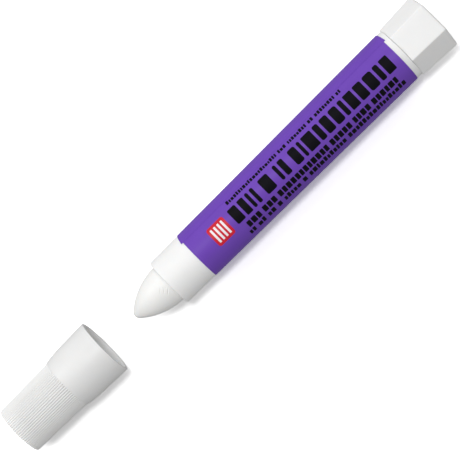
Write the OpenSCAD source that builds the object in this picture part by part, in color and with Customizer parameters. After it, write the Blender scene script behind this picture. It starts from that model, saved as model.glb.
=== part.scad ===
// Twist-up solid paint marker, lying on its side with its cap pulled off in line with it.
// Its axis runs along X, from the knob at the back to the cap in front. Sizes are in mm.

/* [Paint stick] */
// Diameter of the paint stick
stick_d = 13.1; // [9:0.1:20]
// Length of its bullet-shaped tip
tip_l = 14.3; // [9:0.1:24]
// Radius of the very end of the tip
nose_r = 1.9; // [0.5:0.1:3.5]
// How far the stick stands out of the barrel
stick_out = 14.3; // [4:0.1:22]

/* [Barrel] */
// Length of the barrel in front of the knob
barrel_l = 97.9; // [80:0.1:140]
// Thickness of its wall at the mouth
barrel_wall = 1.4; // [1.1:0.1:3]
// How much thicker its outside is at the back than at the mouth, across
barrel_flare = 1.45; // [0:0.05:4]
// Length of the neck that the knob turns on
neck_l = 3.4; // [2.4:0.1:6]
// Thickness of the neck's wall
neck_wall = 1.1; // [0.6:0.1:2]
// Thickness of the floor that the screw turns in
floor_t = 1.6; // [1:0.1:2.2]

/* [Label] */
// Thickness of the printed film
film_t = 0.1; // [0.05:0.01:0.3]
// Bare barrel left in front of the label
label_front = 11.8; // [9:0.1:30]
// Bare barrel left behind the label
label_back = 1.8; // [0.8:0.1:10]
// Width of the glued overlap, in degrees round the barrel
flap_deg = 44; // [16:1:80]
// How far the overlap's free edge stands out past the rest, at each end
flap_over = 0.65; // [0.2:0.05:0.75]
// Where the overlap's free edge lies, in degrees round the barrel from the top
seam_deg = 37; // [0:1:359]

/* [Twist knob] */
// Length of the knob
knob_l = 13.7; // [10:0.1:24]
// Distance across its flats at the front
knob_front_af = 16.4; // [13:0.1:26]
// How much wider it is across its flats at the end
knob_flare = 1.2; // [0:0.1:4]
// How much its six corners are rounded off
knob_corner = 0.1; // [0:0.05:0.5]
// Width of the bevel round its end
knob_bevel = 0.7; // [0.1:0.1:1.2]
// Thickness of its wall in the middle of a flat
knob_wall = 0.9; // [0.6:0.1:2]
// Thickness of its end
knob_end_t = 1.5; // [0.8:0.1:3]
// Outer diameter of the hub inside it
hub_d = 8.4; // [6.6:0.1:9]
// Open groove between the barrel and the knob
knob_gap = 0.2; // [0.2:0.05:1]

/* [Lead screw] */
// Outer diameter of the thread
screw_d = 5.2; // [4.4:0.1:6]
// Height of the thread
thread_h = 0.7; // [0.4:0.1:1]
// How far the thread moves the stick in one turn
lead = 6; // [4:0.5:10]
// Number of threads that wind side by side
starts = 2; // [1:1:3]
// Length of the screw in front of its flange
screw_l = 62; // [50:1:80]
// Thickness of the flange
flange_t = 1.2; // [0.8:0.1:2]
// Diameter of the journal in the floor of the barrel
journal_d = 6; // [5.6:0.1:6.4]
// Distance across the flats of the hexagonal drive
drive_af = 4.4; // [3:0.1:4.8]
// Length of the hexagonal drive
drive_l = 6.8; // [4:0.1:7]

/* [Holder] */
// Depth of the cup that grips the stick
cup_depth = 6; // [3:0.5:12]
// Thickness of the cup's wall
cup_wall = 0.65; // [0.5:0.05:1.2]
// Thickness of the cup's floor
cup_floor = 1.8; // [1:0.1:4]
// Length of the nut behind the cup
nut_l = 5; // [3:0.5:10]
// Outer diameter of the nut
nut_d = 8.4; // [7.6:0.1:8.8]
// Width of the two keys that stop it turning
key_w = 1.6; // [1:0.1:3]
// Height of the two keys
key_h = 0.45; // [0.3:0.05:0.7]
// How far the stick can be wound back from where it is drawn
wind_back = 14; // [2:0.5:18]

/* [Cap] */
// Length of the cap
cap_l = 36.5; // [32:0.1:60]
// How deep the barrel goes into it
seat_l = 11.3; // [6:0.1:14]
// Thickness of its wall at the rim
cap_wall = 1; // [0.6:0.1:2]
// How much wider the socket is at the rim than at its seat, on each side
socket_draft = 0.4; // [0.1:0.05:1]
// Length of the smooth part behind the rim
smooth_l = 15.1; // [12:0.1:20]
// How much the smooth part narrows evenly, on each side
smooth_draft = 0.4; // [0.2:0.05:1]
// Length of the rounded shoulder at the end of the smooth part
shoulder_l = 6; // [2:0.5:10]
// How much further the shoulder bends inwards, on each side
shoulder_drop = 0.3; // [0.1:0.05:0.5]
// Length of the small slope between the shoulder and the grip
slope_l = 1.8; // [0.5:0.1:4]
// Thickness of the wall of the grip, between its grooves
grip_wall = 1.2; // [0.9:0.05:2]
// How much the grip narrows to the closed end, on each side
grip_draft = 0.4; // [0:0.05:1]
// Number of fine grooves along the grip
groove_count = 72; // [24:12:96]
// Depth of these grooves
groove_depth = 0.2; // [0.05:0.05:0.3]
// Thickness of the closed end
cap_end_t = 1.2; // [0.8:0.1:3]
// Rounding of the closed end's edge
cap_edge = 0.6; // [0.2:0.1:1]
// How far the pulled-off cap lies from the tip
cap_away = 12.8; // [2:0.1:60]

/* [Fits] */
// Room round the stick in the barrel, and round it in the cap's closed end
stick_play = 0.2; // [0.1:0.05:0.6]
// Room round the holder in the barrel
slide_play = 0.15; // [0.1:0.05:0.3]
// Room round the barrel's mouth in the cap
cap_play = 0.12; // [0.08:0.02:0.4]
// Room round the neck inside the knob
neck_play = 0.2; // [0.1:0.05:0.5]
// Room round the journal in the floor
journal_play = 0.07; // [0.02:0.01:0.1]
// Room round the thread in the nut
thread_play = 0.22; // [0.16:0.02:0.4]
// End play of the screw and knob on the floor
end_play = 0.15; // [0.05:0.05:0.4]
// Room round parts that are pushed together and stay together
push_play = 0.03; // [0.01:0.01:0.1]

/* [Hidden] */
$fn = 96;

// Small roundings and allowances that no other piece depends on
mouth_edge = 0.5;
back_edge = 0.15;
rim_edge = 0.25;
arc_steps = 4;
tip_steps = 24;
shoulder_steps = 6;
thread_steps = 16;
cut = 1;
sunk = 0.25;

// Radii, from the stick outwards
stick_r = stick_d / 2;
bore_r = stick_r + stick_play;
mouth_r = bore_r + barrel_wall;
back_r = mouth_r + barrel_flare / 2;
holder_r = bore_r - slide_play;
spigot_r = holder_r - cup_wall - push_play;
key_r = holder_r + key_h;
screw_r = screw_d / 2;
root_r = screw_r - thread_h;
core_r = root_r - 0.1;
hole_r = screw_r + 2 * thread_play;

// Radii of the knob and of the neck inside it
front_in_r = knob_front_af / 2;
end_in_r = front_in_r + knob_flare / 2;
front_out_r = front_in_r / cos(30) - knob_corner;
end_out_r = end_in_r / cos(30) - knob_corner;
recess_r = front_in_r - knob_wall;
neck_r = recess_r - neck_play;
neck_in_r = min(neck_r - neck_wall, bore_r);
flange_r = neck_in_r - 0.4;

// Radii of the cap
seat_r = mouth_r + cap_play;
rim_in_r = seat_r + socket_draft;
rim_r = rim_in_r + cap_wall;
tip_room = 2 * stick_play;
end_room_r = stick_r + tip_room;
cap_end_r = end_room_r + grip_wall;
grip_r = cap_end_r + grip_draft;
room_r = min(end_room_r + grip_draft + 0.1, seat_r - 0.6);

// Places along the axis, from the middle of the whole length
whole_l = knob_l + knob_gap + barrel_l + stick_out + cap_away + cap_l;
end_x = -whole_l / 2;
knob_x = end_x + knob_l;
back_x = knob_x + knob_gap;
neck_x = back_x - neck_l;
floor_x = neck_x + floor_t;
flange_x = floor_x + end_play;
thread_x = flange_x + flange_t;
bore_x = back_x + 2.2;
holder_x = bore_x + 2 * end_play + wind_back;
cup_x = holder_x + nut_l + cup_floor;
mouth_x = back_x + barrel_l;
tip_x = mouth_x + stick_out;
rim_x = tip_x + cap_away;
hub_x = neck_x - end_play;
drive_x = hub_x - drive_l;
screw_end_x = thread_x + screw_l;
hole_end_x = screw_end_x + wind_back + hole_r + 1;

// The widest ring, the rim of the cap, touches the ground
axis_z = rim_r;

// Points of an arc round a centre, from one angle to another
function arc(centre, r, from, to, steps) =
    [for (i = [0:steps]) let (a = from + (to - from) * i / steps) centre + r * [cos(a), sin(a)]];

// Outer radius of the tapered barrel at a place along the axis
function barrel_r(x) = mouth_r + (back_r - mouth_r) * (mouth_x - x) / barrel_l;

// Points of the cap's shoulder, which bends inwards more and more
function shoulder_points() =
    [for (i = [0:shoulder_steps])
        let (t = i / shoulder_steps, x = smooth_l - shoulder_l * (1 - t))
        [rim_r - smooth_draft * x / smooth_l - shoulder_drop * t * t, x]];

// Outline across the thread, with its crests raised and widened by some play
function thread_outline(play) =
    let (period = 360 / starts, extra = 360 * play / lead)
    [for (k = [0:starts - 1], p = [[-1, 1], [-1 / 3, 1], [1 / 3, 1], [1, 1], [-1, 0], [0, 0], [1, 0]])
        let (
            crest = p[1] == 1,
            half = period / 8 + (crest ? extra : -extra),
            a = k * period + (crest ? 0 : period / 2) + p[0] * half,
            r = play + (crest ? screw_r : root_r)
        )
        r * [cos(a), sin(a)]];

// Turns an outline of [radius, place] points round the marker's axis, from a place on it
module turned(x) {
    translate([x, 0, axis_z])
        rotate([0, 90, 0])
            rotate_extrude()
                children();
}

// A straight rod on the axis
module rod(x, r, l) {
    translate([x, 0, axis_z])
        rotate([0, 90, 0])
            cylinder(r = r, h = l);
}

// A hexagonal rod on the axis, with a flat on top
module hex_rod(x, af, l) {
    translate([x, 0, axis_z])
        rotate([0, 90, 0])
            rotate([0, 0, 30])
                cylinder(r = af / 2 / cos(30), h = l, $fn = 6);
}

// The left-hand thread, in step with itself wherever it starts
module thread(x, l, play) {
    translate([x, 0, axis_z])
        rotate([0, 90, 0])
            rotate([0, 0, -360 * (x - thread_x) / lead])
                linear_extrude(
                    height = l, twist = 360 * l / lead,
                    slices = ceil(thread_steps * l / lead), segments = 7 * starts
                )
                    polygon(thread_outline(play));
}

// Two bars along both sides of the axis, from one radius to another
module side_bars(x, l, w, r_from, r_to) {
    for (side = [0, 180])
        translate([x, 0, axis_z])
            rotate([side, 0, 0])
                translate([0, r_from, -w / 2])
                    cube([l, r_to - r_from, w]);
}

module barrel() {
    color("white")
        difference() {
            union() {
                turned(back_x)
                    polygon(concat(
                        [[0, 0]],
                        arc([back_r - back_edge, back_edge], back_edge, -90, 0, arc_steps),
                        arc([mouth_r - mouth_edge, barrel_l - mouth_edge], mouth_edge, 0, 90, arc_steps),
                        [[0, barrel_l]]
                    ));
                rod(neck_x, neck_r, neck_l + cut);
            }
            turned(0)
                polygon([
                    [0, floor_x],
                    [neck_in_r, floor_x],
                    [neck_in_r, bore_x - 1.2],
                    [bore_r, bore_x],
                    [bore_r, mouth_x - 0.4],
                    [bore_r + 0.4, mouth_x],
                    [bore_r + 0.4, mouth_x + cut],
                    [0, mouth_x + cut]
                ]);
            rod(neck_x - cut, journal_d / 2 + journal_play, floor_t + 2 * cut);
            side_bars(
                bore_x, mouth_x + cut - bore_x,
                key_w + 2 * slide_play, bore_r - 0.5, key_r + slide_play
            );
        }
}

module label() {
    front_x = mouth_x - label_front;
    rear_x = back_x + label_back;
    lies = push_play;
    color("#6b4bc3")
        union() {
            turned(0)
                polygon([
                    [barrel_r(rear_x) + lies, rear_x],
                    [barrel_r(rear_x) + lies + film_t, rear_x],
                    [barrel_r(front_x) + lies + film_t, front_x],
                    [barrel_r(front_x) + lies, front_x]
                ]);
            flap(rear_x, front_x, lies);
        }
}

// The overlap: its ends slant out to the free edge
module flap(rear_x, front_x, lies) {
    slant = atan(flap_over / 2 / (mouth_r * sin(flap_deg / 2)));
    middle_over = flap_over / 2 - film_t / 2;
    reach = 2 * back_r;
    difference() {
        translate([0, 0, axis_z])
            rotate([seam_deg, 0, 0])
                rotate([0, 90, 0])
                    rotate([0, 0, 180])
                        rotate_extrude(angle = flap_deg)
                            flap_outline(rear_x - flap_over, front_x + flap_over, lies);
        for (end = [[front_x + middle_over, 1], [rear_x - middle_over, -1]])
            translate([end[0], 0, axis_z])
                rotate([seam_deg + flap_deg / 2, 0, 0])
                    rotate([0, 0, -end[1] * slant])
                        translate([end[1] > 0 ? 0 : -reach, -reach / 2, 0])
                            cube([reach, reach, reach]);
    }
}

// Section of the overlap, half sunk into the layer that it is glued to
module flap_outline(rear_x, front_x, lies) {
    polygon([
        [barrel_r(rear_x) + lies + film_t / 2, rear_x],
        [barrel_r(rear_x) + lies + 2 * film_t, rear_x],
        [barrel_r(front_x) + lies + 2 * film_t, front_x],
        [barrel_r(front_x) + lies + film_t / 2, front_x]
    ]);
}

module knob() {
    slant = atan((end_in_r - front_in_r) / knob_l);
    reach = 2 * end_out_r;
    color("white")
        difference() {
            turned(end_x)
                polygon([[0, 0], [end_out_r, 0], [front_out_r, knob_l], [0, knob_l]]);
            for (side = [0:5])
                translate([end_x, 0, axis_z])
                    rotate([60 * side, 0, 0]) {
                        translate([0, 0, end_in_r])
                            rotate([0, slant, 0])
                                translate([-cut, -reach / 2, 0])
                                    cube([knob_l + 2 * cut, reach, reach / 2]);
                        translate([0, 0, end_in_r - knob_bevel])
                            rotate([0, -45, 0])
                                translate([-2, -reach / 2, 0])
                                    cube([4, reach, 3]);
                    }
            turned(0)
                polygon([
                    [hub_d / 2, end_x + knob_end_t],
                    [recess_r, end_x + knob_end_t],
                    [recess_r, knob_x + cut],
                    [0, knob_x + cut],
                    [0, hub_x],
                    [hub_d / 2, hub_x]
                ]);
            hex_rod(drive_x - end_play, drive_af + 2 * push_play, drive_l + end_play + cut);
        }
}

module lead_screw() {
    color("gainsboro")
        union() {
            hex_rod(drive_x, drive_af, drive_l + 0.5);
            rod(hub_x, journal_d / 2, flange_x - hub_x + 0.5);
            rod(flange_x, flange_r, flange_t);
            rod(flange_x, core_r, flange_t + 3);
            thread(thread_x + 1, screw_l - 1, 0);
        }
}

module holder() {
    skirt_t = cup_wall + 0.15;
    color("gainsboro")
        difference() {
            union() {
                turned(0)
                    polygon([
                        [0, holder_x],
                        [nut_d / 2, holder_x],
                        [nut_d / 2, holder_x + nut_l],
                        [holder_r - skirt_t, holder_x + nut_l],
                        [holder_r - skirt_t, holder_x],
                        [holder_r, holder_x],
                        [holder_r, cup_x + cup_depth],
                        [holder_r - cup_wall, cup_x + cup_depth],
                        [holder_r - cup_wall, cup_x],
                        [0, cup_x]
                    ]);
                side_bars(holder_x, cup_x + cup_depth - holder_x, key_w, holder_r - sunk, key_r);
            }
            thread(holder_x - cut, nut_l + cup_floor + 2 * cut, thread_play);
        }
}

module paint_stick() {
    arc_r = (pow(tip_l - nose_r, 2) + pow(stick_r, 2) - pow(nose_r, 2)) / (2 * (stick_r - nose_r));
    arc_x = tip_x - tip_l;
    nose_deg = atan2(tip_l - nose_r, arc_r - stick_r);
    color("white")
        turned(0)
            polygon(concat(
                [[0, hole_end_x], [hole_r, hole_end_x - hole_r], [hole_r, cup_x]],
                [[spigot_r, cup_x], [spigot_r, cup_x + cup_depth], [stick_r, cup_x + cup_depth]],
                arc([stick_r - arc_r, arc_x], arc_r, 0, nose_deg, tip_steps),
                arc([0, tip_x - nose_r], nose_r, nose_deg + 10, 90, arc_steps)
            ));
}

module cap() {
    grip_at = smooth_l + slope_l;
    color("white")
        difference() {
            turned(rim_x)
                polygon(concat(
                    [[rim_in_r, 0]],
                    arc([rim_r - rim_edge, rim_edge], rim_edge, -90, 0, arc_steps),
                    shoulder_points(),
                    [[grip_r, grip_at]],
                    arc([cap_end_r - cap_edge, cap_l - cap_edge], cap_edge, 0, 90, arc_steps),
                    [[0, cap_l], [0, cap_l - cap_end_t], [end_room_r, cap_l - cap_end_t]],
                    [[room_r, seat_l], [seat_r, seat_l]]
                ));
            grooves(rim_x + grip_at, cap_l - grip_at);
        }
}

// V-shaped cuts along the grip, tilted with its taper
module grooves(x, l) {
    for (i = [0:groove_count - 1])
        translate([x, 0, axis_z])
            rotate([360 * (i + 0.5) / groove_count, 0, 0])
                translate([0, 0, grip_r - groove_depth])
                    rotate([0, atan(grip_draft / l), 0])
                        rotate([45, 0, 0])
                            cube([l + cut, 1, 1]);
}

barrel();
label();
knob();
lead_screw();
holder();
paint_stick();
cap();
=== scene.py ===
import math

import bmesh
import bpy
from mathutils import Matrix, Vector


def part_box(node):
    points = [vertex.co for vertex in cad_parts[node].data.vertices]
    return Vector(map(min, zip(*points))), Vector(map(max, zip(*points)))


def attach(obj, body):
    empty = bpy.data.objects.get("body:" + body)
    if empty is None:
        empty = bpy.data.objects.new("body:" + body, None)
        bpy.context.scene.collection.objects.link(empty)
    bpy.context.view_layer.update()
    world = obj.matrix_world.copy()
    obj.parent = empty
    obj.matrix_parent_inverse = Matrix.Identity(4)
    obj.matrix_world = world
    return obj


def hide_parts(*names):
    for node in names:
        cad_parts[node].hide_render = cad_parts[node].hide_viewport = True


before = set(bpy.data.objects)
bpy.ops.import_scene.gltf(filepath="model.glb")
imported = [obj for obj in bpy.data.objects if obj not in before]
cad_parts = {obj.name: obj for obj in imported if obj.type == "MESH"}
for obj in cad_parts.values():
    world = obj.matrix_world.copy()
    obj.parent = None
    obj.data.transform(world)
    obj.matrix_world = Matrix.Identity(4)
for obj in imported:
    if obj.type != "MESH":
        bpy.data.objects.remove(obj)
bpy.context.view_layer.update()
print("frame loaded:", len(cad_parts), "nodes")

mm = 0.001
axisZ = (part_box("cap")[0].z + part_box("cap")[1].z) / 2  # height of the marker's axis over the ground
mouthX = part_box("barrel")[1].x  # front end of the barrel
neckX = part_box("barrel")[0].x  # back end of the barrel's neck
labelRearX, labelFrontX = (corner.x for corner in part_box("label"))
knobEndX, knobFrontX = (corner.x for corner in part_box("knob"))
stickBackX, tipX = (corner.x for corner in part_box("paint_stick"))
rimX, capEndX = (corner.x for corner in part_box("cap"))

# camera

cameraPlace = {
    "lensMm": 177.4, "distance": 0.680, "overX": -0.02301, "leanDeg": 4.6,
    "lookX": -0.00091, "lookY": 0.00090, "turnDeg": 224.74,
    "sensorMm": 36, "near": 0.01, "far": 10,
}


def addCamera():
    # nearly overhead, leaning a little to the +Y side, and turned about its own line of sight
    c = cameraPlace
    lean = math.radians(c["leanDeg"])
    place = Vector((c["overX"], c["distance"] * math.sin(lean), axisZ + c["distance"] * math.cos(lean)))
    back = (place - Vector((c["lookX"], c["lookY"], axisZ))).normalized()
    along = (Vector((1, 0, 0)) - back * back.x).normalized()
    across = back.cross(along)
    turn = math.radians(c["turnDeg"])
    right = along * math.cos(turn) - across * math.sin(turn)
    up = along * math.sin(turn) + across * math.cos(turn)
    data = bpy.data.cameras.new("camera")
    data.lens = c["lensMm"]
    data.sensor_width = c["sensorMm"]
    data.clip_start, data.clip_end = c["near"], c["far"]
    camera = bpy.data.objects.new("camera", data)
    camera.matrix_world = Matrix((right, up, back)).transposed().to_4x4()
    camera.matrix_world.translation = place
    bpy.context.scene.collection.objects.link(camera)
    bpy.context.scene.camera = camera


addCamera()
print("camera placed")

# nodes and their links

def newSocket(tree, name, kind, outside="INPUT", value=None):
    socket = tree.interface.new_socket(name=name, in_out=outside, socket_type=kind)
    if value is not None:
        socket.default_value = value
    return socket


def socketOf(sockets, name):
    # a socket by its number or its name; several may share a name, and one of them is in use
    if isinstance(name, int):
        return sockets[name]
    return next(socket for socket in sockets if socket.name == name and socket.enabled)


def node(tree, kind, inputs=None, **values):
    # a node with its properties set; an input takes a value or the socket that feeds it
    made = tree.nodes.new(kind)
    for key, value in values.items():
        setattr(made, key, value)
    for name, value in (inputs or {}).items():
        if isinstance(value, bpy.types.NodeSocket):
            tree.links.new(value, socketOf(made.inputs, name))
        else:
            socketOf(made.inputs, name).default_value = value
    return made


def calc(tree, operation, *terms, clamp=False):
    # one step of arithmetic on values or sockets
    made = node(tree, "ShaderNodeMath", dict(enumerate(terms)), operation=operation, use_clamp=clamp)
    return made.outputs[0]


def evaluated(name, source, tree, settings):
    # runs a Geometry Nodes tree on an object and keeps the result as a plain mesh
    modifier = source.modifiers.new(tree.name, "NODES")
    modifier.node_group = tree
    inputs = [item for item in tree.interface.items_tree if item.in_out == "INPUT"]
    sockets = {item.name: item.identifier for item in inputs}
    for key, value in settings.items():
        modifier[sockets[key]] = value
    bpy.context.view_layer.update()
    mesh = bpy.data.meshes.new_from_object(source.evaluated_get(bpy.context.evaluated_depsgraph_get()))
    bpy.data.objects.remove(source)
    mesh.name = name
    piece = bpy.data.objects.new(name, mesh)
    bpy.context.scene.collection.objects.link(piece)
    return piece


# materials

plasticWhite = (0.86, 0.86, 0.855, 1)
capWhite = (0.77, 0.77, 0.765, 1)
# painted light: a paler white for the cap's inside, standing in for light through its thin walls
capInsidePaintedLight = (0.93, 0.93, 0.925, 1)
driveWhite = (0.8, 0.8, 0.78, 1)
filmPurple = (0.155, 0.06, 0.45, 1)
inkBlack = (0.004, 0.0035, 0.006, 1)
patchRed = (0.60, 0.012, 0.03, 1)
stripeWhite = (0.86, 0.82, 0.84, 1)
paintWhite = (0.86, 0.86, 0.845, 1)


def buildMouldedGrain():
    # fine grain and slow mottling of a moulded or printed surface: a height, a roughness and a mask
    tree = bpy.data.node_groups.new("mouldedGrain", "ShaderNodeTree")
    newSocket(tree, "Vector", "NodeSocketVector")
    newSocket(tree, "Grain Scale", "NodeSocketFloat", value=2600)
    newSocket(tree, "Mottle Scale", "NodeSocketFloat", value=140)
    newSocket(tree, "Roughness", "NodeSocketFloat", value=0.4)
    newSocket(tree, "Roughness Spread", "NodeSocketFloat", value=0.08)
    newSocket(tree, "Height", "NodeSocketFloat", "OUTPUT")
    newSocket(tree, "Roughness", "NodeSocketFloat", "OUTPUT")
    newSocket(tree, "Mottle", "NodeSocketFloat", "OUTPUT")
    start = node(tree, "NodeGroupInput").outputs
    grain = node(tree, "ShaderNodeTexNoise", {
        "Vector": start["Vector"], "Scale": start["Grain Scale"], "Detail": 3.0, "Roughness": 0.6,
    })
    mottle = node(tree, "ShaderNodeTexNoise", {
        "Vector": start["Vector"], "Scale": start["Mottle Scale"], "Detail": 5.0, "Roughness": 0.55,
    })
    off = calc(tree, "SUBTRACT", mottle.outputs["Fac"], 0.5)
    spread = calc(tree, "MULTIPLY_ADD", off, start["Roughness Spread"], start["Roughness"])
    node(tree, "NodeGroupOutput", {
        "Height": grain.outputs["Fac"], "Roughness": spread, "Mottle": mottle.outputs["Fac"],
    })
    return tree


mouldedGrain = buildMouldedGrain()

plasticLooks = {"ior": 1.49, "scatter": (1.0, 0.9, 0.8), "mottleFrom": 0.3, "mottleTo": 0.7}


def plasticMaterial(name, colour, roughness, spread=0.08, bump=0.000003, subsurface=0.0, depth=0.0015,
                    specular=0.5, mottle=0.03):
    # bump and depth, how far light wanders under the surface, are in metres
    s = plasticLooks
    material = bpy.data.materials.new(name)
    material.use_nodes = True
    tree = material.node_tree
    shader = tree.nodes["Principled BSDF"]
    shader.inputs["IOR"].default_value = s["ior"]
    shader.inputs["Subsurface Weight"].default_value = subsurface
    shader.inputs["Subsurface Radius"].default_value = s["scatter"]
    shader.inputs["Subsurface Scale"].default_value = depth
    shader.inputs["Specular IOR Level"].default_value = specular
    where = node(tree, "ShaderNodeTexCoord")
    grain = node(tree, "ShaderNodeGroup", node_tree=mouldedGrain)
    tree.links.new(where.outputs["Object"], grain.inputs["Vector"])
    grain.inputs["Roughness"].default_value = roughness
    grain.inputs["Roughness Spread"].default_value = spread
    tone = node(tree, "ShaderNodeMapRange", {
        "Value": grain.outputs["Mottle"], "From Min": s["mottleFrom"], "From Max": s["mottleTo"],
        "To Min": 1 - mottle, "To Max": 1.0,
    })
    tint = node(tree, "ShaderNodeMix", data_type="RGBA", blend_type="MULTIPLY")
    tint.inputs["Factor"].default_value = 1
    tint.inputs["A"].default_value = colour
    tree.links.new(tone.outputs[0], tint.inputs["B"])
    tree.links.new(tint.outputs["Result"], shader.inputs["Base Color"])
    tree.links.new(grain.outputs["Roughness"], shader.inputs["Roughness"])
    relief = node(tree, "ShaderNodeBump", {
        "Height": grain.outputs["Height"], "Strength": 1.0, "Distance": bump,
    })
    tree.links.new(relief.outputs["Normal"], shader.inputs["Normal"])
    return material


barrelPlastic = plasticMaterial(
    "barrelPlastic", plasticWhite, 0.5, subsurface=0.4, depth=0.001, specular=0.35)
knobPlastic = plasticMaterial(
    "knobPlastic", plasticWhite, 0.5, subsurface=0.3, depth=0.001, specular=0.35)
capPlastic = plasticMaterial(
    "capPlastic", capWhite, 0.42, subsurface=0.3, depth=0.0004, specular=0.4)
drivePlastic = plasticMaterial("drivePlastic", driveWhite, 0.45)
labelFilm = plasticMaterial("labelFilm", filmPurple, 0.42, bump=0.000002, specular=0.14, mottle=0.06)
printBlack = plasticMaterial("printBlack", inkBlack, 0.5, bump=0.000002, specular=0.05)
printRed = plasticMaterial("printRed", patchRed, 0.4, bump=0.000002, specular=0.2)
printWhite = plasticMaterial("printWhite", stripeWhite, 0.4, bump=0.000002, specular=0.2)
solidPaint = plasticMaterial(
    "solidPaint", paintWhite, 0.46, spread=0.16, bump=0.000012, subsurface=0.4, depth=0.0015)
print("materials built")


# shapes

sharpDeg = 32  # an edge that turns more than this shows as an edge
mergeWithin = 1e-7


def finishMesh(name, bm):
    # a piece with smooth faces, and sharp edges where it really turns a corner
    bmesh.ops.remove_doubles(bm, verts=bm.verts, dist=mergeWithin)
    bmesh.ops.recalc_face_normals(bm, faces=bm.faces)
    for face in bm.faces:
        face.smooth = True
    for edge in bm.edges:
        edge.smooth = len(edge.link_faces) == 2 and edge.calc_face_angle(0) < math.radians(sharpDeg)
    mesh = bpy.data.meshes.new(name)
    bm.to_mesh(mesh)
    bm.free()
    piece = bpy.data.objects.new(name, mesh)
    bpy.context.scene.collection.objects.link(piece)
    return piece


def easeCorners(corners, steps=5):
    # corners are (x, radius, rounding); the rounded ones become arcs
    points = []
    for i, (x, r, rounding) in enumerate(corners):
        here = Vector((x, r))
        if not rounding or i in (0, len(corners) - 1):
            points.append(here)
            continue
        before = Vector(corners[i - 1][:2]) - here
        after = Vector(corners[i + 1][:2]) - here
        half = before.angle(after) / 2
        along = rounding / math.tan(half)
        inward = (before.normalized() + after.normalized()).normalized()
        middle = here + inward * (rounding / math.sin(half))
        first = here + before.normalized() * along - middle
        last = here + after.normalized() * along - middle
        turn = first.angle_signed(last)
        for k in range(steps + 1):
            points.append(middle + Matrix.Rotation(-turn * k / steps, 2) @ first)
    return points


def ringPoint(x, r, angle):
    # angle 0 is the top, a quarter turn on is the +Y side
    return Vector((x, r * math.sin(angle), axisZ + r * math.cos(angle)))


def turned(name, points, sides, radiusAt=None, looped=False):
    # turns an outline of (x, radius) round the marker's axis; radiusAt may change a point's radius
    bm = bmesh.new()
    rings = []
    for x, r in points:
        if r < mergeWithin:
            rings.append([bm.verts.new(ringPoint(x, 0, 0))] * sides)
            continue
        ring = []
        for k in range(sides):
            angle = math.tau * k / sides
            ring.append(bm.verts.new(ringPoint(x, radiusAt(x, r, angle) if radiusAt else r, angle)))
        rings.append(ring)
    pairs = list(zip(rings, rings[1:]))
    if looped:
        pairs.append((rings[-1], rings[0]))
    for one, two in pairs:
        for k in range(sides):
            after = (k + 1) % sides
            corners = []
            for vert in (one[k], one[after], two[after], two[k]):
                if vert not in corners:
                    corners.append(vert)
            if len(corners) > 2:
                bm.faces.new(corners)
    return finishMesh(name, bm)


def place(piece, material, body, slotName, *nodes):
    piece.data.materials.clear()
    piece.data.materials.append(material)
    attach(piece, body)
    if nodes:
        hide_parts(*nodes)
    return piece


# barrel

barrelSizes = {
    "length": 98.0, "mouthR": 8.15, "backR": 8.875, "boreR": 6.75,
    "mouthEdge": 0.5, "backEdge": 0.08, "neckR": 7.1, "neckInR": 6.0, "floor": 1.6, "holeR": 3.07,
    "slotW": 1.9, "slotDepth": 0.5, "slotReach": 0.45, "sides": 288, "mouthBevel": 0.4, "bevelEdge": 0.1,
    "neckEdge": 0.2, "boreFrom": 2.2, "boreCone": 1.2,
}


def barrelRadius(x):
    # outer radius of the tapered barrel, in metres, at a place along the axis
    s = barrelSizes
    share = (mouthX - x) / (s["length"] * mm)
    return (s["mouthR"] + (s["backR"] - s["mouthR"]) * share) * mm


def addBarrel():
    s = barrelSizes
    backX = mouthX - s["length"] * mm
    floorX = neckX + s["floor"] * mm
    boreX = backX + s["boreFrom"] * mm
    bore = s["boreR"] * mm
    bevel = s["mouthBevel"] * mm
    corners = [
        (neckX, s["holeR"] * mm, 0),
        (neckX, s["neckR"] * mm, s["neckEdge"] * mm),
        (backX, s["neckR"] * mm, 0),
        (backX, s["backR"] * mm, s["backEdge"] * mm),
        (mouthX, s["mouthR"] * mm, s["mouthEdge"] * mm),
        (mouthX, bore + bevel, s["bevelEdge"] * mm),
        (mouthX - bevel, bore, 0),
        (boreX, bore, 0),
        (boreX - s["boreCone"] * mm, s["neckInR"] * mm, 0),
        (floorX, s["neckInR"] * mm, 0),
        (floorX, s["holeR"] * mm, 0),
    ]

    def slotted(x, r, angle):
        # the two key slots of the bore, at both sides of the axis
        off = abs(abs(math.remainder(angle, math.tau)) - math.pi / 2) * r
        inBore = x > boreX - 1e-6 and r < bore + s["slotReach"] * mm
        if inBore and off < s["slotW"] / 2 * mm:
            return bore + s["slotDepth"] * mm
        return r

    piece = turned("barrelShell", easeCorners(corners), s["sides"], slotted, looped=True)
    place(piece, barrelPlastic, "barrel", "barrel_plastic", "barrel")


addBarrel()
print("barrel built")

# label

labelSizes = {
    "film": 0.06, "lies": 0.03, "seamDeg": -37.0, "flapDeg": 44.0, "flapOver": 0.65, "liftDeg": 3.0,
    "around": 480, "along": 60,
    "ridge": 0.02, "printRidge": 0.003, "printMiddleDeg": 14, "printHalfDeg": 50, "ridgeRiseDeg": 10,
}

# the film's fine lengthwise ridges: waves per turn and their shift in degrees
ridgeWaves = [(31, 0), (47, 70), (74, 200)]


def ridgeHeight(angleDeg):
    # in mm, nearly flat under the print
    s = labelSizes
    fromPrint = abs((angleDeg + 180 - s["printMiddleDeg"]) % 360 - 180) - s["printHalfDeg"]
    beside = min(1, max(0, fromPrint / s["ridgeRiseDeg"]))
    height = s["printRidge"] + (s["ridge"] - s["printRidge"]) * beside
    waves = [math.sin(math.radians(angleDeg * turns + shift)) for turns, shift in ridgeWaves]
    return height * sum(waves) / len(waves)


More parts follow.
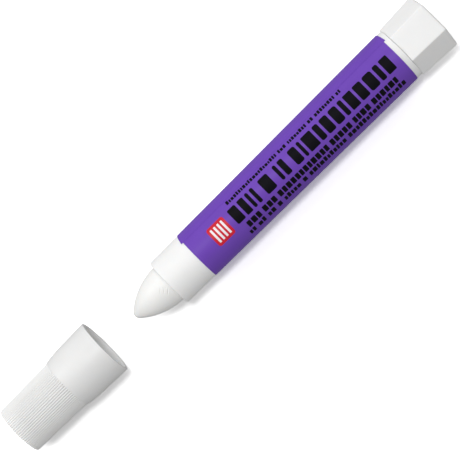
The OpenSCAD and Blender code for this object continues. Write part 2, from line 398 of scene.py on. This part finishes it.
def addLabel():
    # one strip of film, wrapped once round and on over its own start
    s = labelSizes
    frontX = labelFrontX - s["flapOver"] * mm
    rearX = labelRearX + s["flapOver"] * mm
    last, edge = s["around"], s["along"]
    freeDeg = s["seamDeg"]
    startDeg = freeDeg - 360 - s["flapDeg"]
    bm = bmesh.new()
    layers = []
    for layer in (0, 1):
        grid = []
        for i in range(last + 1):
            angleDeg = startDeg + (360 + s["flapDeg"]) * i / last
            lapDeg = angleDeg - (freeDeg - s["flapDeg"])  # how far the strip lies on itself
            over = s["flapOver"] * max(0, lapDeg / s["flapDeg"]) * mm
            lift = min(1, max(0, 1 + lapDeg / s["liftDeg"]))
            ripple = ridgeHeight(angleDeg)
            row = []
            for j in range(edge + 1):
                x = rearX - over + (frontX - rearX + 2 * over) * j / edge
                r = barrelRadius(x) + (s["lies"] + s["film"] * (lift + layer) + ripple) * mm
                row.append(bm.verts.new(ringPoint(x, r, math.radians(angleDeg))))
            grid.append(row)
        layers.append(grid)
    under, top = layers
    for grid in layers:
        for i in range(last):
            for j in range(edge):
                bm.faces.new((grid[i][j], grid[i][j + 1], grid[i + 1][j + 1], grid[i + 1][j]))
    for i in range(last):
        for j in (0, edge):
            bm.faces.new((under[i][j], under[i + 1][j], top[i + 1][j], top[i][j]))
    for j in range(edge):
        for i in (0, last):
            bm.faces.new((under[i][j], under[i][j + 1], top[i][j + 1], top[i][j]))
    place(finishMesh("labelWrap", bm), labelFilm, "barrel", "label_film", "label")


addLabel()
print("label wrapped")

# print on the label: rows of plain rounded blocks, and a red patch with white stripes

printSizes = {
    "inkThick": 0.012, "whiteLayers": 2, "sunk": 0.008,
    "fewBlocks": 20, "fineCells": (14, 20), "coarseCells": (6, 8),  # cells along and around a block
}

# "along" and "around" are a row's two limits, in mm from the label's front edge and in degrees from the top
printRows = [
    {"ink": "Black", "along": (16.4, 82.3), "around": (-16.3, 20.9), "Blocks": 19, "Width Spread": 0.6,
     "Gap": 0.36, "Word Gap": 0.6, "Word Chance": 0.18, "Corner": 0.25, "Corner Spread": 0.6, "Seed": 7},
    {"ink": "Black", "along": (18.2, 80.0), "around": (28.2, 43.4), "Blocks": 33, "Width Spread": 0.2,
     "Gap": 0.24, "Word Gap": 0.6, "Word Chance": 0.15, "Corner": 0.2, "Seed": 5},
    {"ink": "Black", "along": (17.1, 81.3), "around": (46.0, 61.6), "Blocks": 41, "Width Spread": 0.3,
     "Gap": 0.3, "Word Gap": 0.9, "Word Chance": 0.22, "Corner": 0.2, "Height Spread": 0.3, "Seed": 8},
    {"ink": "Black", "along": (17.9, 65.5), "around": (-34.0, -24.6), "Blocks": 44, "Width Spread": 0.3,
     "Gap": 0.34, "Word Gap": 0.9, "Word Chance": 0.22, "Corner": 0.15, "Height Spread": 0.3, "Seed": 12},
    {"ink": "Red", "along": (7.8, 14.4), "around": (-18.2, 27.6), "Blocks": 1, "Corner": 0.8},
    {"ink": "White", "along": (8.7, 13.5), "around": (-11.9, 21.3), "Blocks": 4, "Gap": 1.0, "Corner": 0.1},
]


def buildPrintRow():
    # a row of rounded blocks laid round the tapered label
    tree = bpy.data.node_groups.new("printRow", "GeometryNodeTree")
    newSocket(tree, "Geometry", "NodeSocketGeometry")
    for name in ("Blocks", "Seed", "Along Cells", "Around Cells"):
        newSocket(tree, name, "NodeSocketInt", value=1)
    for name in ("From", "To", "From Angle", "To Angle", "Gap", "Word Gap", "Word Chance", "Width Spread",
                 "Corner", "Corner Spread", "Height Spread", "Front X", "Axis Height", "Front Radius",
                 "Taper", "Thickness"):
        newSocket(tree, name, "NodeSocketFloat", value=0.0)
    newSocket(tree, "Material", "NodeSocketMaterial")
    newSocket(tree, "Geometry", "NodeSocketGeometry", "OUTPUT")
    start = node(tree, "NodeGroupInput").outputs

    def do(operation, *terms):
        return calc(tree, operation, *terms)

    # widths and places of the blocks along the row
    index = node(tree, "GeometryNodeInputIndex").outputs[0]
    spread = start["Width Spread"]
    width = socketOf(node(tree, "FunctionNodeRandomValue", {
        "Min": do("SUBTRACT", 1, spread), "Max": do("ADD", 1, spread), "ID": index,
        "Seed": start["Seed"],
    }, data_type="FLOAT").outputs, "Value")
    wordEnd = socketOf(node(tree, "FunctionNodeRandomValue", {
        "Probability": start["Word Chance"], "ID": index, "Seed": do("ADD", start["Seed"], 100),
    }, data_type="BOOLEAN").outputs, "Value")
    notLast = do("LESS_THAN", index, do("SUBTRACT", start["Blocks"], 1.5))
    gap = do("MULTIPLY", do("MULTIPLY_ADD", wordEnd, start["Word Gap"], start["Gap"]), notLast)
    places = node(tree, "GeometryNodeAccumulateField", {"Value": do("ADD", width, gap)})
    unit = do("DIVIDE", do("SUBTRACT", start["To"], start["From"]), places.outputs["Total"])
    middle = do("ADD", places.outputs["Trailing"], do("MULTIPLY", width, 0.5))
    points = node(tree, "GeometryNodePoints", {"Count": start["Blocks"]})
    kept = node(tree, "GeometryNodeCaptureAttribute", {"Geometry": points.outputs[0]}, domain="POINT")
    for name in ("Middle", "Half Width", "Rounding", "Missing"):
        kept.capture_items.new("FLOAT", name)
    rounding, missing = (socketOf(node(tree, "FunctionNodeRandomValue", {
        "Min": 0.0, "Max": 1.0, "ID": index, "Seed": do("ADD", start["Seed"], extra),
    }, data_type="FLOAT").outputs, "Value") for extra in (200, 300))
    for name, value in {
        "Middle": do("MULTIPLY_ADD", middle, unit, start["From"]),
        "Half Width": do("MULTIPLY", do("MULTIPLY", width, 0.5), unit),
        "Rounding": do("MULTIPLY_ADD", rounding, start["Corner Spread"], start["Corner"]),
        "Missing": do("MULTIPLY", missing, start["Height Spread"]),
    }.items():
        tree.links.new(value, kept.inputs[name])

    # one flat block, 2 by 2, with its own coordinates kept
    grid = node(tree, "GeometryNodeMeshGrid", {
        "Size X": 2.0, "Size Y": 2.0,
        "Vertices X": do("ADD", start["Along Cells"], 1),
        "Vertices Y": do("ADD", start["Around Cells"], 1),
    })
    flat = node(tree, "GeometryNodeCaptureAttribute", {
        "Geometry": grid.outputs["Mesh"],
    }, domain="POINT")
    flat.capture_items.new("VECTOR", "Flat")
    tree.links.new(node(tree, "GeometryNodeInputPosition").outputs[0], flat.inputs["Flat"])
    blocks = node(tree, "GeometryNodeInstanceOnPoints", {
        "Points": kept.outputs["Geometry"], "Instance": flat.outputs["Geometry"],
    })
    real = node(tree, "GeometryNodeRealizeInstances", {"Geometry": blocks.outputs[0]})

    # its points in metres from its middle, closer together at its ends, with rounded corners
    own = node(tree, "ShaderNodeSeparateXYZ", {"Vector": flat.outputs["Flat"]}).outputs
    turn = do("SUBTRACT", start["To Angle"], start["From Angle"])
    halfHeight = do("MULTIPLY", do("MULTIPLY", turn, 0.5), start["Front Radius"])
    # shorter blocks keep their foot on the line
    lower = do("MULTIPLY", halfHeight, kept.outputs["Missing"])
    halves = (kept.outputs["Half Width"], do("SUBTRACT", halfHeight, lower))
    spots = [do("MULTIPLY", do("SINE", do("MULTIPLY", own[i], math.pi / 2)), halves[i]) for i in (0, 1)]
    corner = do("MINIMUM", kept.outputs["Rounding"], do("MINIMUM", *halves))
    past = [
        do("MAXIMUM", do("SUBTRACT", do("ABSOLUTE", spots[i]), do("SUBTRACT", halves[i], corner)), 0)
        for i in (0, 1)
    ]
    longest = do("SQRT", do("ADD", do("MULTIPLY", past[0], past[0]), do("MULTIPLY", past[1], past[1])))
    reach = do("MAXIMUM", *past)
    pulled = do("SUBTRACT", 1, do("DIVIDE", reach, do("MAXIMUM", longest, 1e-9)))
    along, around = (
        do("SUBTRACT", spots[i], do("MULTIPLY", do("SIGN", spots[i]), do("MULTIPLY", past[i], pulled)))
        for i in (0, 1)
    )

    # wrapped round the label
    back = do("ADD", kept.outputs["Middle"], along)
    radius = do("MULTIPLY_ADD", back, start["Taper"], start["Front Radius"])
    centre = do("MULTIPLY", do("ADD", start["From Angle"], start["To Angle"]), 0.5)
    angle = do("ADD", centre, do("DIVIDE", do("ADD", around, lower), radius))

    def wrapped(r):
        return node(tree, "ShaderNodeCombineXYZ", {
            "X": do("SUBTRACT", start["Front X"], back),
            "Y": do("MULTIPLY", r, do("SINE", angle)),
            "Z": do("MULTIPLY_ADD", r, do("COSINE", angle), start["Axis Height"]),
        }).outputs[0]

    sheet = node(tree, "GeometryNodeSetPosition", {
        "Geometry": real.outputs[0], "Position": wrapped(radius),
    })
    outward = node(tree, "GeometryNodeFlipFaces", {"Mesh": sheet.outputs[0]})
    raised = node(tree, "GeometryNodeExtrudeMesh", {
        "Mesh": outward.outputs[0], "Offset Scale": 0.0, "Individual": False,
    }, mode="FACES")
    top = node(tree, "GeometryNodeSetPosition", {
        "Geometry": raised.outputs["Mesh"], "Selection": raised.outputs["Top"],
        "Position": wrapped(do("ADD", radius, start["Thickness"])),
    })
    both = node(tree, "GeometryNodeJoinGeometry")
    tree.links.new(top.outputs[0], both.inputs[0])
    tree.links.new(sheet.outputs[0], both.inputs[0])
    closed = node(tree, "GeometryNodeMergeByDistance", {"Geometry": both.outputs[0], "Distance": 1e-7})
    plain = node(tree, "GeometryNodeRealizeInstances", {"Geometry": closed.outputs[0]})
    painted = node(tree, "GeometryNodeSetMaterial", {
        "Geometry": plain.outputs[0], "Material": start["Material"],
    })
    node(tree, "NodeGroupOutput", {"Geometry": painted.outputs[0]})
    return tree


def addPrint():
    s = printSizes
    tree = buildPrintRow()
    inks = {"Black": printBlack, "Red": printRed, "White": printWhite}
    filmTop = (labelSizes["lies"] + labelSizes["film"] - s["sunk"]) * mm
    for ink, material in inks.items():
        layers = s["whiteLayers"] if ink == "White" else 1
        bm = bmesh.new()
        for row in printRows:
            if row["ink"] != ink:
                continue
            settings = {key: value for key, value in row.items() if key[0].isupper()}
            cells = s["fineCells"] if row["Blocks"] <= s["fewBlocks"] else s["coarseCells"]
            settings.update({
                "Along Cells": cells[0], "Around Cells": cells[1],
                "From": row["along"][0] * mm, "To": row["along"][1] * mm,
                "Corner": row["Corner"] * mm, "Corner Spread": row.get("Corner Spread", 0) * mm,
                "From Angle": math.radians(row["around"][0]), "To Angle": math.radians(row["around"][1]),
                "Front X": labelFrontX, "Axis Height": axisZ, "Material": material,
                "Front Radius": barrelRadius(labelFrontX) + filmTop,
                "Taper": barrelRadius(0) - barrelRadius(1),
                "Thickness": (s["sunk"] + s["inkThick"] * layers) * mm,
            })
            base = bpy.data.objects.new("base", bpy.data.meshes.new("base"))
            bpy.context.scene.collection.objects.link(base)
            made = evaluated("row", base, tree, settings)
            bm.from_mesh(made.data)
            bpy.data.objects.remove(made)
        place(finishMesh("print" + ink, bm), material, "barrel", "label_film")


addPrint()
print("print laid on the label")

# knob

knobSizes = {
    "frontIn": 8.2, "endIn": 8.8, "corner": 0.45, "endEdge": 0.8, "frontEdge": 0.05,
    "edgeGrow": 0.25, "lip": 0.1, "recessR": 7.3, "endThick": 1.5,
    "hubR": 4.2, "hubGap": 0.15, "socketR": 2.5, "socketDeep": 6.95,
    "arcSteps": 6, "flatSteps": 8, "edgeSteps": 8, "frontSteps": 4,
    "endShares": (0.12, 0.3, 0.48, 0.66, 0.84), "sideShares": (0.3, 0.6, 0.9),
}


def knobOutline(inner, corner):
    # a hexagon with rounded corners and a flat on top, as points across the axis
    s = knobSizes
    points = []
    reach = (inner - corner) / math.cos(math.pi / 6)
    for side in range(6):
        centre = Matrix.Rotation(math.radians(60 * side + 30), 2) @ Vector((reach, 0))
        following = Matrix.Rotation(math.radians(60 * side + 90), 2) @ Vector((reach, 0))
        for k in range(s["arcSteps"] + 1):
            turn = math.radians(60 * side + 60 * k / s["arcSteps"])
            out = Matrix.Rotation(turn, 2) @ Vector((corner, 0))
            points.append(centre + out)
        for k in range(1, s["flatSteps"]):
            points.append((centre + out).lerp(following + out, k / s["flatSteps"]))
    return points


def addKnob():
    s = knobSizes
    length = knobFrontX - knobEndX
    corner = s["corner"] * mm
    hubX = neckX - s["hubGap"] * mm
    rings = []  # each is a place along the axis and its points across

    def innerAt(x):
        return (s["endIn"] + (s["frontIn"] - s["endIn"]) * (x - knobEndX) / length) * mm

    def hexRing(x, inset, rounding):
        rings.append((x, knobOutline(innerAt(x) - inset, rounding)))

    def roundRing(x, r):
        # a circle whose points lie at the hexagon's own angles
        rings.append((x, [point.normalized() * r for point in knobOutline(1, 0.5)]))

    for share in s["endShares"]:
        rings.append((knobEndX, [point * share for point in knobOutline(s["endIn"] * mm, corner)]))
    edge = s["endEdge"] * mm
    for k in range(s["edgeSteps"] + 1):
        a = math.pi / 2 * k / s["edgeSteps"]
        inset = edge * (1 - math.sin(a))
        hexRing(knobEndX + edge * (1 - math.cos(a)), inset, corner + s["edgeGrow"] * inset)
    for share in s["sideShares"]:
        hexRing(knobEndX + length * share, 0, corner)
    frontEdge = s["frontEdge"] * mm
    for k in range(s["frontSteps"] + 1):
        a = math.pi / 2 * k / s["frontSteps"]
        hexRing(knobFrontX - frontEdge * (1 - math.sin(a)), frontEdge * (1 - math.cos(a)), corner)
    roundRing(knobFrontX, (s["recessR"] + s["lip"]) * mm)
    roundRing(knobFrontX - s["lip"] * mm, s["recessR"] * mm)
    roundRing(knobEndX + s["endThick"] * mm, s["recessR"] * mm)
    roundRing(knobEndX + s["endThick"] * mm, s["hubR"] * mm)
    roundRing(hubX, s["hubR"] * mm)
    roundRing(hubX, s["socketR"] * mm)
    roundRing(hubX - s["socketDeep"] * mm, s["socketR"] * mm)
    bm = bmesh.new()
    grid = [[bm.verts.new((x, p.y, axisZ + p.x)) for p in points] for x, points in rings]
    for one, two in zip(grid, grid[1:]):
        for k in range(len(one)):
            after = (k + 1) % len(one)
            bm.faces.new((one[k], one[after], two[after], two[k]))
    bm.faces.new(grid[0])
    bm.faces.new(grid[-1])
    place(finishMesh("knobShell", bm), knobPlastic, "knob", "knob_plastic", "knob")


addKnob()
print("knob built")

# paint stick

stickSizes = {
    "radius": 6.55, "tipLength": 14.3, "noseR": 1.9, "spigotR": 5.92, "cupDepth": 6.0, "holeR": 3.04,
    "holeDeep": 56.3, "sides": 400, "rodRings": 9, "tipRings": 32, "noseRings": 10,
    "scuffFrom": 13.8, "scuffTo": 10.0, "scuffRings": 40, "ridgeShare": 0.4, "ridgeOff": 0.9,
}

# rubbed marks: mm behind the tip, degrees from the top, length, width, depth and slant (mm and degrees)
scuffs = [
    (12.7, 19.5, 2.7, 0.34, 0.17, 42),
    (12.0, 11.5, 2.0, 0.3, 0.13, 42),
    (11.6, 0.5, 1.8, 0.28, 0.12, 46),
    (12.6, 3.0, 1.3, 0.26, 0.12, 44),
    (10.9, 6.0, 1.2, 0.24, 0.1, 50),
    (13.2, 8.0, 1.0, 0.22, 0.1, 40),
]


def stickOutline():
    # the spigot that stands in the cup, the rod, and a bullet tip of one large arc and a small nose
    s = stickSizes
    radius, length, nose = s["radius"], s["tipLength"], s["noseR"]
    curve = ((length - nose) ** 2 + radius ** 2 - nose ** 2) / (2 * (radius - nose))
    noseTurn = math.atan2(length - nose, curve - radius)
    shoulderX = stickBackX + s["cupDepth"] * mm
    startX = tipX - length * mm
    points = [(stickBackX, s["holeR"] * mm), (stickBackX, s["spigotR"] * mm)]
    points += [(shoulderX, s["spigotR"] * mm), (shoulderX, radius * mm)]
    rod = s["rodRings"]
    points += [(shoulderX + (startX - shoulderX) * k / rod, radius * mm) for k in range(1, rod)]

    def bulge(x):
        return (radius - curve + math.sqrt(curve ** 2 - ((x - startX) / mm) ** 2)) * mm

    scuffEnd = tipX - s["scuffTo"] * mm
    bulgeEnd = startX + curve * math.sin(noseTurn) * mm
    for k in range(s["scuffRings"]):
        x = startX + (scuffEnd - startX) * k / s["scuffRings"]
        points.append((x, bulge(x)))
    for k in range(s["tipRings"] + 1):
        x = scuffEnd + (bulgeEnd - scuffEnd) * math.sin(math.pi / 2 * k / s["tipRings"])
        points.append((x, bulge(x)))
    last = s["noseRings"]
    for k in range(1, last + 1):
        a = noseTurn + (math.pi / 2 - noseTurn) * k / last
        points.append((tipX + nose * (math.sin(a) - 1) * mm, nose * math.cos(a) * mm if k < last else 0))
    return points


def rubbed(x, r, angle):
    # the stick's radius, pressed in along the rubbed marks, which lie near the top
    s = stickSizes
    behind = tipX - x
    if not s["scuffTo"] * mm < behind < s["scuffFrom"] * mm or math.cos(angle) < 0.5:
        return r
    for markBehind, markDeg, length, width, depth, slantDeg in scuffs:
        around = math.remainder(angle - math.radians(markDeg), math.tau)
        off = Vector((behind / mm - markBehind, r * around / mm))
        slant = math.radians(slantDeg)
        way = off.x * math.cos(slant) - off.y * math.sin(slant)
        side = off.x * math.sin(slant) + off.y * math.cos(slant)
        fade = max(0, 1 - (2 * way / length) ** 2)
        press = math.exp(-(side / (width / 2)) ** 2)
        ridge = s["ridgeShare"] * math.exp(-((abs(side) - width * s["ridgeOff"]) / (width / 2)) ** 2)
        r -= depth * mm * fade * (press - ridge)
    return r


def addStick():
    s = stickSizes
    holeEnd = stickBackX + s["holeDeep"] * mm
    hole = [(holeEnd, 0), (holeEnd - s["holeR"] * mm, s["holeR"] * mm)]
    piece = turned("paintStick", hole + stickOutline(), s["sides"], rubbed)
    place(piece, solidPaint, "feed", "solid_paint", "paint_stick")


addStick()
print("paint stick built")

# cap

capSizes = {
    "rimInR": 8.67, "rimR": 9.67, "rimEdge": 0.3, "smooth": 15.1, "smoothDraft": 0.4,
    "shoulder": 6, "shoulderDrop": 0.3, "shoulderSteps": 12, "shoulderEase": 0.4,
    "slope": 1.8, "slopeEase": 0.15, "gripR": 8.55, "endR": 8.15, "endEdge": 0.6, "endThick": 1.2,
    "roomEndR": 6.95, "roomR": 7.45, "roomEdge": 0.4, "seat": 11.3, "seatR": 8.27, "sides": 720,
    "ribs": 72, "ribDeep": 0.34, "ribLead": 1.0, "ribFade": 0.25, "ribOutsideR": 7.7,
    # close rings of points for the ends of the ribs, counted off from where the slope meets the grip
    "ringGap": 0.1, "slopeRings": range(12, 3, -1), "gripRings": range(2, 6), "endRings": (1.4, 0.9),
    # radii within the wall, at the seat and behind it, and where the inside's painted light begins
    "midSeatR": 9.0, "midRoomR": 7.9, "seatMargin": 0.1, "insideFade": 0.3,
}


def buildRibbedGrip():
    # presses lengthwise grooves into the outside of a turned piece, between two places on its axis
    tree = bpy.data.node_groups.new("ribbedGrip", "GeometryNodeTree")
    newSocket(tree, "Geometry", "NodeSocketGeometry")
    newSocket(tree, "Ribs", "NodeSocketInt", value=72)
    for name in ("Depth", "From", "To", "Fade", "Axis Height", "Inner Radius"):
        newSocket(tree, name, "NodeSocketFloat", value=0.0)
    newSocket(tree, "Material", "NodeSocketMaterial")
    newSocket(tree, "Geometry", "NodeSocketGeometry", "OUTPUT")
    start = node(tree, "NodeGroupInput").outputs

    def do(operation, *terms, clamp=False):
        return calc(tree, operation, *terms, clamp=clamp)

    where = node(tree, "ShaderNodeSeparateXYZ", {
        "Vector": node(tree, "GeometryNodeInputPosition").outputs[0],
    }).outputs
    up = do("SUBTRACT", where["Z"], start["Axis Height"])
    radius = do("SQRT", do("ADD", do("MULTIPLY", where["Y"], where["Y"]), do("MULTIPLY", up, up)))
    angle = do("ARCTAN2", where["Y"], up)
    wave = do("COSINE", do("MULTIPLY", angle, start["Ribs"]))
    groove = do("POWER", do("MULTIPLY_ADD", wave, 0.5, 0.5), 1.5)
    begin = do("DIVIDE", do("SUBTRACT", where["X"], start["From"]), start["Fade"], clamp=True)
    stop = do("DIVIDE", do("SUBTRACT", start["To"], where["X"]), start["Fade"], clamp=True)
    outside = do("GREATER_THAN", radius, start["Inner Radius"])
    share = do("MULTIPLY", groove, do("MULTIPLY", begin, stop))
    deep = do("MULTIPLY", share, do("MULTIPLY", outside, start["Depth"]))
    inward = do("DIVIDE", deep, do("MAXIMUM", radius, 1e-6))
    offset = node(tree, "ShaderNodeCombineXYZ", {
        "Y": do("MULTIPLY", do("MULTIPLY", where["Y"], inward), -1),
        "Z": do("MULTIPLY", do("MULTIPLY", up, inward), -1),
    })
    pressed = node(tree, "GeometryNodeSetPosition", {
        "Geometry": start["Geometry"], "Offset": offset.outputs[0],
    })
    real = node(tree, "GeometryNodeRealizeInstances", {"Geometry": pressed.outputs[0]})
    painted = node(tree, "GeometryNodeSetMaterial", {
        "Geometry": real.outputs[0], "Material": start["Material"],
    })
    node(tree, "NodeGroupOutput", {"Geometry": painted.outputs[0]})
    return tree


def paintLightInside(material):
    # painted light: the light that thin walls let through is painted in, as a paler base colour on the
    # cap's inside than on its outside
    s = capSizes
    tree = material.node_tree
    base = tree.nodes["Principled BSDF"].inputs["Base Color"]
    outer = base.links[0].from_socket

    def do(operation, *terms, clamp=False):
        return calc(tree, operation, *terms, clamp=clamp)

    where = node(tree, "ShaderNodeTexCoord").outputs["Object"]
    spot = node(tree, "ShaderNodeSeparateXYZ", {"Vector": where}).outputs
    up = do("SUBTRACT", spot["Z"], axisZ)
    radius = do("SQRT", do("MULTIPLY_ADD", up, up, do("MULTIPLY", spot["Y"], spot["Y"])))
    deep = do("SUBTRACT", spot["X"], rimX)
    pastSeat = do("GREATER_THAN", deep, (s["seat"] + s["seatMargin"]) * mm)
    limit = do("MULTIPLY_ADD", pastSeat, (s["midRoomR"] - s["midSeatR"]) * mm, s["midSeatR"] * mm)
    fade = do("DIVIDE", deep, s["insideFade"] * mm, clamp=True)
    within = do("MULTIPLY", do("LESS_THAN", radius, limit), fade)
    # painted light: mixes the paler inside white into the base colour
    blend = node(tree, "ShaderNodeMix", data_type="RGBA")
    tree.links.new(within, blend.inputs["Factor"])
    tree.links.new(outer, socketOf(blend.inputs, "A"))
    socketOf(blend.inputs, "B").default_value = capInsidePaintedLight
    tree.links.new(socketOf(blend.outputs, "Result"), base)


def addCap():
    s = capSizes
    gripX = rimX + (s["smooth"] + s["slope"]) * mm
    outside = [(rimX, s["rimInR"] * mm, 0), (rimX, s["rimR"] * mm, s["rimEdge"] * mm)]
    steps = s["shoulderSteps"]
    for k in range(steps + 1):
        share = k / steps
        back = s["smooth"] - s["shoulder"] * (1 - share)
        r = s["rimR"] - s["smoothDraft"] * back / s["smooth"] - s["shoulderDrop"] * share ** 2
        outside.append((rimX + back * mm, r * mm, s["shoulderEase"] * mm if k == steps else 0))
    ring = s["ringGap"] * mm
    fall = (s["gripR"] * mm - outside[-1][1]) / (s["slope"] * mm)
    for k in s["slopeRings"]:
        outside.append((gripX - k * ring, s["gripR"] * mm - fall * k * ring, 0))
    outside.append((gripX, s["gripR"] * mm, s["slopeEase"] * mm))
    taper = (s["endR"] - s["gripR"]) * mm / (capEndX - gripX)
    for x in [gripX + k * ring for k in s["gripRings"]] + [capEndX - off * mm for off in s["endRings"]]:
        outside.append((x, s["gripR"] * mm + taper * (x - gripX), 0))
    outside += [
        (capEndX, s["endR"] * mm, s["endEdge"] * mm),
        (capEndX, s["endR"] * 0.5 * mm, 0),
        (capEndX, 0, 0),
    ]
    inside = [
        (capEndX - s["endThick"] * mm, 0, 0),
        (capEndX - s["endThick"] * mm, s["roomEndR"] * mm, s["roomEdge"] * mm),
        (rimX + s["seat"] * mm, s["roomR"] * mm, 0),
        (rimX + s["seat"] * mm, s["seatR"] * mm, 0),
        (rimX, s["rimInR"] * mm, 0),
    ]
    points = easeCorners(outside) + easeCorners(inside)[:-1]
    shell = turned("capShell", points, s["sides"], looped=True)
    piece = evaluated("capShell", shell, buildRibbedGrip(), {
        "Ribs": s["ribs"], "Depth": s["ribDeep"] * mm, "Fade": s["ribFade"] * mm,
        "From": gripX - s["ribLead"] * mm, "To": capEndX,
        "Axis Height": axisZ, "Inner Radius": s["ribOutsideR"] * mm, "Material": capPlastic,
    })
    place(piece, capPlastic, "cap", "cap_plastic", "cap")


paintLightInside(capPlastic)
addCap()
print("cap built")

for name in ("lead_screw", "holder"):
    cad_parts[name].data.materials.clear()
    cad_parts[name].data.materials.append(drivePlastic)

# ground and light

lightSizes = {
    "sky": 0.385, "seenSky": 1.0,
    # watts, metres across and away, and degrees from straight above towards +X and towards +Y
    "lamps": [
        {"name": "topLamp", "power": 2.42, "size": 0.17, "far": 0.9, "tiltX": 0, "tiltY": -7},
        {"name": "capSideLamp", "power": 2.35, "size": 0.45, "far": 0.8, "tiltX": 35, "tiltY": -40},
        {"name": "knobSideLamp", "power": 1.25, "size": 0.5, "far": 0.8, "tiltX": -40, "tiltY": -62},
        {"name": "backLamp", "power": 0.95, "size": 0.6, "far": 1.0, "tiltX": 0, "tiltY": 65},
    ],
}
groundLooks = {"half": 3.0, "colour": 0.42, "seenColour": 1.6, "evenAt": 0.85}


def addLamp(name, power, size, far, tiltX, tiltY):
    data = bpy.data.lights.new(name, "AREA")
    data.energy = power
    data.shape = "DISK"
    data.size = size
    way = Vector((math.tan(math.radians(tiltX)), math.tan(math.radians(tiltY)), 1)).normalized()
    lamp = bpy.data.objects.new(name, data)
    lamp.location = way * far
    lamp.rotation_mode = "QUATERNION"
    lamp.rotation_quaternion = way.to_track_quat("Z", "Y")
    bpy.context.scene.collection.objects.link(lamp)


def addGround():
    s = groundLooks
    mesh = bpy.data.meshes.new("ground")
    half = s["half"]
    corners = [(-half, -half, 0), (half, -half, 0), (half, half, 0), (-half, half, 0)]
    mesh.from_pydata(corners, [], [(0, 1, 2, 3)])
    ground = bpy.data.objects.new("ground", mesh)
    bpy.context.scene.collection.objects.link(ground)
    material = bpy.data.materials.new("groundPaper")
    material.use_nodes = True
    tree = material.node_tree
    tree.nodes.remove(tree.nodes["Principled BSDF"])
    path = node(tree, "ShaderNodeLightPath")
    spot = node(tree, "ShaderNodeTexCoord").outputs["Object"]
    away = node(tree, "ShaderNodeVectorMath", {0: spot, 1: spot}, operation="DOT_PRODUCT").outputs["Value"]
    # the lamps' light thins out with the distance, so the seen floor gets paler with it and looks even
    fall = calc(tree, "MULTIPLY_ADD", away, 1 / s["evenAt"] ** 2, 1)
    seen = calc(tree, "MULTIPLY", calc(tree, "MULTIPLY", fall, fall), s["seenColour"])
    shade = node(tree, "ShaderNodeMix", {
        "Factor": path.outputs["Is Camera Ray"], "A": s["colour"], "B": seen,
    }).outputs[0]
    paper = node(tree, "ShaderNodeBsdfDiffuse", {
        "Color": node(tree, "ShaderNodeCombineXYZ", {"X": shade, "Y": shade, "Z": shade}).outputs[0],
    })
    tree.links.new(paper.outputs[0], tree.nodes["Material Output"].inputs["Surface"])
    mesh.materials.append(material)


def addLight():
    # an even pale sky, a small lamp almost overhead and large soft ones round it
    s = lightSizes
    world = bpy.data.worlds.new("world")
    bpy.context.scene.world = world
    world.use_nodes = True
    background = world.node_tree.nodes["Background"]
    background.inputs["Color"].default_value = (1, 1, 1, 1)
    path = node(world.node_tree, "ShaderNodeLightPath")
    strength = node(world.node_tree, "ShaderNodeMix", {
        "Factor": path.outputs["Is Camera Ray"], "A": s["sky"], "B": s["seenSky"],
    })
    world.node_tree.links.new(strength.outputs[0], background.inputs["Strength"])
    for lamp in s["lamps"]:
        addLamp(**lamp)


addGround()
addLight()
bpy.context.scene.view_settings.view_transform = "Standard"
print("ground and light added")
